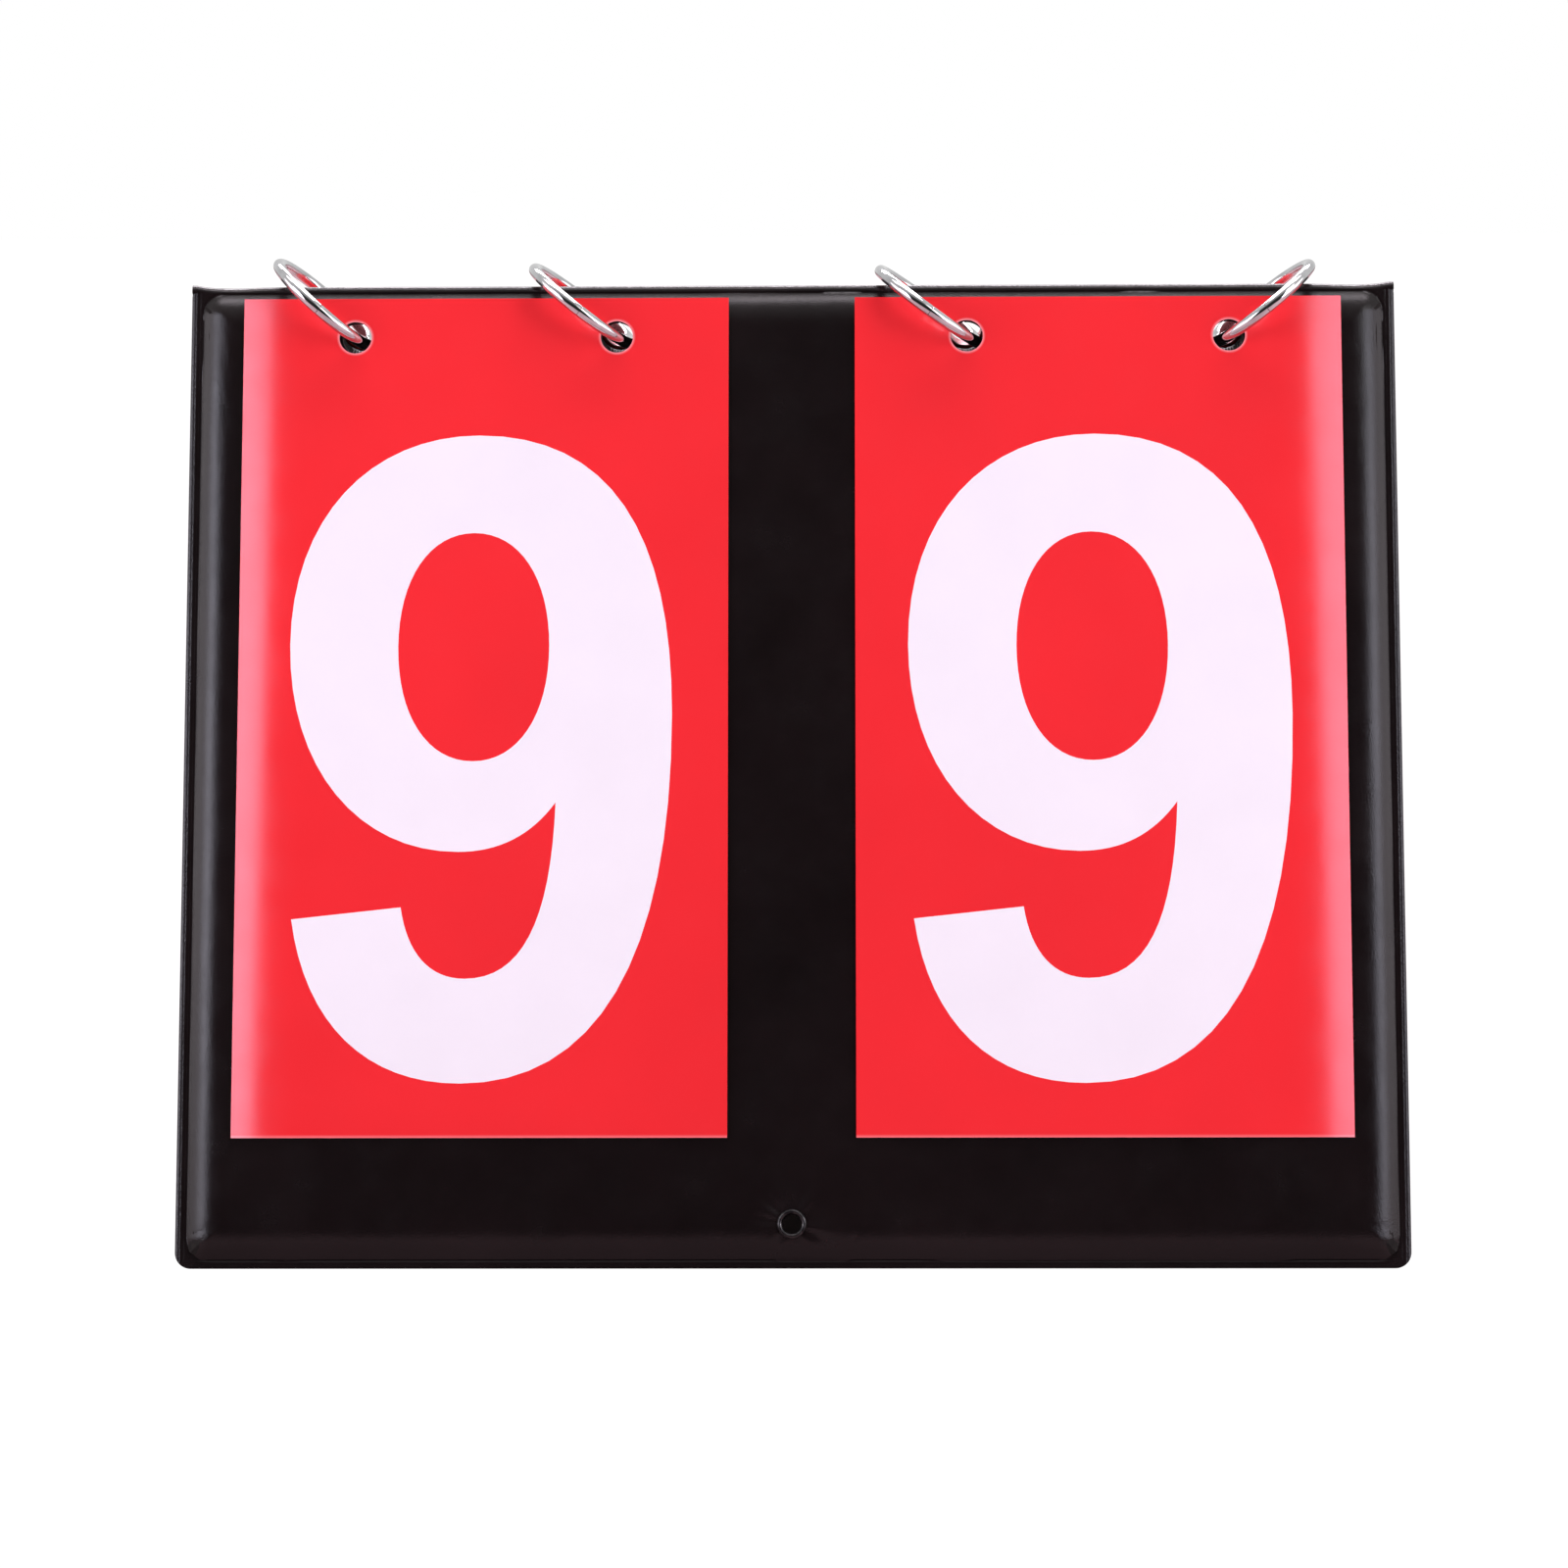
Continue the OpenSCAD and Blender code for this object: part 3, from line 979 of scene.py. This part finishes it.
def glyph_curve(number, film, height):
    """A digit as a filled flat curve in mm, centred across, standing on y = 0."""
    curve = bpy.data.curves.new(f"digit_{number}", "CURVE")
    curve.dimensions = "2D"
    curve.fill_mode = "BOTH"
    curve.extrude = film / 2
    curve.resolution_u = 16
    scale = height / GLYPH_H

    def spot(point):
        return Vector(((point[0] - GLYPH_W / 2) * scale, point[1] * scale, 0))

    for outline in GLYPHS[number]:
        points = [{"at": spot(outline[0]), "in": None, "out": None}]
        for part in outline[1:]:
            straight = is_point(part)
            end = spot(part if straight else part[2])
            if not straight:
                points[-1]["out"] = spot(part[0])
            points.append({"at": end, "in": None if straight else spot(part[1]), "out": None})
        first, last = points[0], points.pop()
        first["in"] = last["in"]
        spline = curve.splines.new("BEZIER")
        spline.bezier_points.add(len(points) - 1)
        spline.use_cyclic_u = True
        for knot, point in zip(spline.bezier_points, points):
            knot.handle_left_type = knot.handle_right_type = "FREE"
            knot.co = point["at"]
            knot.handle_left = point["in"] or point["at"]
            knot.handle_right = point["out"] or point["at"]
    return curve


def digit_mesh(number):
    return evaluated_mesh(put("digit", glyph_curve(number, cards().ink_film, cards().ink_height)))


class SCOREBOARD_OT_digits(bpy.types.Operator):
    """Print a digit on the face of every card"""

    bl_idname = "scoreboard.digits"
    bl_label = "Digits"

    def execute(self, context):
        sizes = cards()
        foot = -sizes.top - sizes.height + sizes.ink_rise
        for number in DIGITS:
            shown = number == SHOWN
            near = face_z() + card_level(number)
            lift = near + sizes.thickness + sizes.ink_film / 2 if shown else near - sizes.ink_film / 2
            for side, sign in CARD_SIDES.items():
                mesh = digit_mesh(number)
                stand_up(mesh, -1 if shown else 1, (sign * sizes.offset + PRINT_SHIFT[side], foot, lift))
                add_piece(f"{side}_digit_{number}", mesh, "ink", f"{side}_card_{number}",
                          smooth=False)
        return {"FINISHED"}


# Rings

def ring_matrix(number):
    """From a ring's own XZ plane in mm, with the knuckle at +X, to its place in the holes."""
    sizes = fittings()
    lean = math.radians(board().lean)
    reach = hole_s() * math.sin(lean) + (face_z() + sizes.ring_out) * math.cos(lean)
    rise = math.sqrt((sizes.ring_mean / 2) ** 2 - reach ** 2)
    low = Vector((hole_places()[number - 1].x, 0, FOLD_Z + sizes.ring_lift - hole_s() * math.cos(lean)))
    return (Matrix.Scale(MM, 4) @ Matrix.Translation(low)
            @ Matrix.Rotation(-math.radians(sizes.ring_leans[number - 1]), 4, "Y")
            @ Matrix.Translation((0, 0, rise)) @ Matrix.Rotation(math.radians(90), 4, "Z"))


def turns(steps, whole=2 * math.pi):
    return [whole * step / steps for step in range(steps)]


def wire_section(radius, half):
    """The wire's round section, cut flat at a half width."""
    return [(radius * math.cos(turn), max(-half, min(half, radius * math.sin(turn))))
            for turn in turns(WIRE_SEGMENTS)]


def cheek_section(radius, inner, side):
    """The part of the round section that lies beyond the tongue on one side."""
    return [(radius * math.cos(turn), side * max(inner, radius * math.sin(turn)))
            for turn in turns(CHEEK_STEPS, math.pi) + [math.pi]]


def sweep(builder, stations):
    """A bent bar: each station is an angle round the ring and a section of (out, side) points."""
    mean = fittings().ring_mean / 2
    loops = []
    for angle, section in stations:
        points = [(mean + out, side) for out, side in section]
        loops.append([builder.verts.new((far * math.cos(angle), side, far * math.sin(angle)))
                      for far, side in points])
    bridge(builder, loops)


def disc(builder, radius, low, high, bevel=0.09, dome=0.0, segments=40):
    """A plate of the knuckle with eased edges; dome raises the middle of both faces."""
    mean = fittings().ring_mean / 2
    profile = [(radius * 0.6, low - dome * 0.7), (radius - bevel, low), (radius, low + bevel),
               (radius, high - bevel), (radius - bevel, high), (radius * 0.6, high + dome * 0.7)]
    loops = [[builder.verts.new((mean + out * math.cos(turn), side, out * math.sin(turn)))
              for turn in turns(segments)] for out, side in profile]
    bridge(builder, loops, caps=False)
    for loop, side in ((loops[0], low - dome), (loops[-1], high + dome)):
        tip = builder.verts.new((mean, side, 0))
        for here, there in zip(loop, loop[1:] + loop[:1]):
            builder.faces.new((here, tip, there))


def tooth(builder):
    """The small block at the free end that locks the halves together."""
    sizes = fittings()
    made = bmesh.ops.create_cube(builder, size=sizes.tooth,
                                 matrix=Matrix.Translation((-sizes.ring_mean / 2, 0, 0)))
    corners = set(made["verts"])
    edges = [edge for edge in builder.edges if edge.verts[0] in corners]
    bmesh.ops.bevel(builder, geom=edges, offset=TOOTH_BEVEL, segments=2, affect="EDGES")


def ring_half(sign):
    """One half of a ring: sign 1 is the upper half with tongue and tooth, -1 the lower with cheeks."""
    sizes = fittings()
    mean, radius, tongue = sizes.ring_mean / 2, sizes.wire / 2, sizes.tongue / 2
    knuckle = radius + sizes.swell
    start = (knuckle + sizes.gap) / mean
    end = math.pi - WIRE_CHAMFER / mean
    stations = [(start - 0.06, radius - 0.12)]
    stations += [(start + (end - start) * step / ARC_STEPS, radius) for step in range(ARC_STEPS + 1)]
    stations.append((math.pi - WIRE_END_GAP / mean, radius - WIRE_CHAMFER))
    builder = bmesh.new()
    sweep(builder, [(sign * angle, wire_section(thick, radius)) for angle, thick in stations])
    neck = (0.5 * radius / mean, start + 0.02)
    slim = radius * NECK_SLIM
    if sign > 0:
        disc(builder, knuckle, -tongue, tongue)
        sweep(builder, [(angle, wire_section(slim, tongue)) for angle in neck])
        tooth(builder)
    else:
        inner = tongue + sizes.gap
        for side in (-1, 1):
            disc(builder, knuckle, *sorted((side * inner, side * radius)))
            sweep(builder, [(-angle, cheek_section(slim, inner, side)) for angle in neck])
    return builder


def ring_pin():
    """The rivet through the knuckle, domed at both ends."""
    sizes = fittings()
    end = sizes.wire / 2 + PIN_PROUD
    builder = bmesh.new()
    disc(builder, sizes.rivet / 2, -end, end, bevel=0.05, dome=0.1, segments=28)
    return builder


class SCOREBOARD_OT_rings(bpy.types.Operator):
    """Make the four plated book rings: two riveted halves that lock with a tooth"""

    bl_idname = "scoreboard.rings"
    bl_label = "Rings"

    def execute(self, context):
        for number in RINGS:
            ring = f"ring_{number}"
            for part, builder, body in (("lower_half", ring_half(-1), ring),
                                        ("upper_half", ring_half(1), ring + "_top"),
                                        ("hinge_pin", ring_pin(), ring)):
                node = f"{ring}_{part}"
                mesh = closed_mesh(node + "_wire", builder)
                mesh.transform(ring_matrix(number))
                piece = add_piece(node + "_wire", mesh, "chrome", body)
                sharpen(mesh, SHARP_ANGLE)
                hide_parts(node)
        return {"FINISHED"}


# Stage

def area_lamp(name, place, size, energy, colour):
    """A rectangular lamp that points at the board."""
    lamp = bpy.data.lights.new(name, "AREA")
    lamp.shape = "RECTANGLE"
    lamp.size, lamp.size_y = size
    lamp.energy = energy
    lamp.color = colour
    holder = put(name, lamp)
    holder.location = place
    holder.rotation_mode = "QUATERNION"
    holder.rotation_quaternion = (Vector(LAMP_TARGET) - Vector(place)).to_track_quat("-Z", "Y")


def white_world(scene):
    """A white studio: plain white to the camera, bright at the sides and behind, dim in front."""
    world = bpy.data.worlds.new("studio")
    scene.world = world
    world.use_nodes = True
    nodes = Nodes(world.node_tree)
    background = world.node_tree.nodes["Background"].inputs
    place = nodes.axes("Generated")
    behind = nodes.maths("ADD", nodes.maths("MULTIPLY", place["Z"], 0.6), place["Y"])
    dim = nodes.remap(behind, -0.6, 0.3, 0.03, 0.8, ease=True)
    nodes.feed(background["Color"], WHITE)
    nodes.feed(background["Strength"], nodes.remap(nodes.camera_ray(), 0.0, 1.0, dim, 1.0))


def add_floor():
    """A floor that the camera sees as white, with a soft painted shadow inside the tent."""
    builder = bmesh.new()
    bmesh.ops.create_grid(builder, x_segments=1, y_segments=1, size=3.0)
    floor = put("floor", mesh_from_bmesh("floor", builder))
    recipe = Recipe("pale_floor")
    place = recipe.axes()
    foot = FOLD_Z * math.tan(math.radians(board().lean)) * MM
    beside = recipe.maths("DIVIDE", recipe.maths("ABSOLUTE", place["X"]), PANEL_W / 2 * MM)
    before = recipe.maths("DIVIDE", recipe.maths("ABSOLUTE", place["Y"]), foot)
    # Painted shadow: darkest in the middle of the tent, fading towards its open ends and its feet
    shadow_mask = recipe.maths("MULTIPLY", recipe.remap(before, 0.84, 1.0, 1.0, 0.0),
                         recipe.remap(beside, 0.05, 1.0, 1.0, 0.0))
    clear = recipe.maths("SUBTRACT", 1.0, shadow_mask)
    camera_ray = recipe.camera_ray()
    # Other rays see a pinkish floor with the same painted shadow inside the tent
    bounced = recipe.ramp(clear, (0.0, (0.04, 0.035, 0.035)), (1.0, (0.42, 0.3, 0.31)))
    # The camera sees the floor glow white, except in the painted shadow
    recipe.set(
        Base_Color=recipe.mix(camera_ray, bounced, PAINTED_FLOOR_SHADOW),
        Roughness=0.9,
        Specular_IOR_Level=0.1,
        Emission_Color=WHITE,
        Emission_Strength=recipe.maths("MULTIPLY", recipe.maths("POWER", clear, 1.3), camera_ray))
    floor.data.materials.append(recipe.material)


def add_camera(scene):
    """The photograph's own view: place, roll and a small shift of the lens."""
    settings = scene.scoreboard_stage
    azimuth, elevation, roll = map(math.radians, (settings.azimuth, settings.elevation, settings.roll))
    forward = Vector((math.sin(azimuth) * math.cos(elevation), math.cos(azimuth) * math.cos(elevation),
                      -math.sin(elevation)))
    right = Vector((math.cos(azimuth), -math.sin(azimuth), 0))
    up = right.cross(forward)
    right, up = right * math.cos(roll) + up * math.sin(roll), up * math.cos(roll) - right * math.sin(roll)
    camera = put("camera", bpy.data.cameras.new("camera"))
    turn = Matrix((right, up, -forward)).transposed().to_4x4()
    place = Vector(CAMERA_TARGET) * MM - forward * settings.distance * MM
    camera.matrix_world = Matrix.Translation(place) @ turn
    lens = camera.data
    lens.sensor_width = SENSOR_WIDTH
    lens.lens = SENSOR_WIDTH * settings.focal / settings.frame_px
    lens.shift_x = (settings.frame_px / 2 - settings.centre_x) / settings.frame_px
    lens.shift_y = (settings.centre_y - settings.frame_px / 2) / settings.frame_px
    lens.clip_start, lens.clip_end = 0.01, 20
    scene.camera = camera


class SCOREBOARD_OT_stage(bpy.types.Operator):
    """Set up the camera, the floor and the studio light"""

    bl_idname = "scoreboard.stage"
    bl_label = "Stage"

    def execute(self, context):
        scene = context.scene
        scene.view_settings.view_transform = "Standard"
        add_camera(scene)
        add_floor()
        white_world(scene)
        for lamp in LAMPS:
            area_lamp(*lamp)
        return {"FINISHED"}


class SCOREBOARD_PT_panel(bpy.types.Panel):
    """Sizes, colours and the pieces of the scoreboard"""

    bl_label = "Flip Scoreboard"
    bl_idname = "SCOREBOARD_PT_panel"
    bl_space_type = "VIEW_3D"
    bl_region_type = "UI"
    bl_category = "Scoreboard"

    def draw(self, context):
        for name, settings in SETTINGS:
            group = getattr(context.scene, name)
            box = self.layout.box()
            for key in settings.__annotations__:
                box.prop(group, key)
        for operator in OPERATORS:
            self.layout.operator(operator.bl_idname)


OPERATORS = (
    SCOREBOARD_OT_stage,
    SCOREBOARD_OT_covers,
    SCOREBOARD_OT_inner_sheets,
    SCOREBOARD_OT_spine,
    SCOREBOARD_OT_eyelets,
    SCOREBOARD_OT_cards,
    SCOREBOARD_OT_digits,
    SCOREBOARD_OT_rings,
)


def register():
    for name, settings in SETTINGS:
        bpy.utils.register_class(settings)
        setattr(bpy.types.Scene, name, PointerProperty(type=settings))
    for cls in (*OPERATORS, SCOREBOARD_PT_panel):
        bpy.utils.register_class(cls)


def unregister():
    for cls in (SCOREBOARD_PT_panel, *reversed(OPERATORS)):
        bpy.utils.unregister_class(cls)
    for name, settings in reversed(SETTINGS):
        delattr(bpy.types.Scene, name)
        bpy.utils.unregister_class(settings)


def main():
    register()
    for operator in OPERATORS:
        category, call = operator.bl_idname.split(".")
        getattr(getattr(bpy.ops, category), call)()


if __name__ == "__main__":
    main()
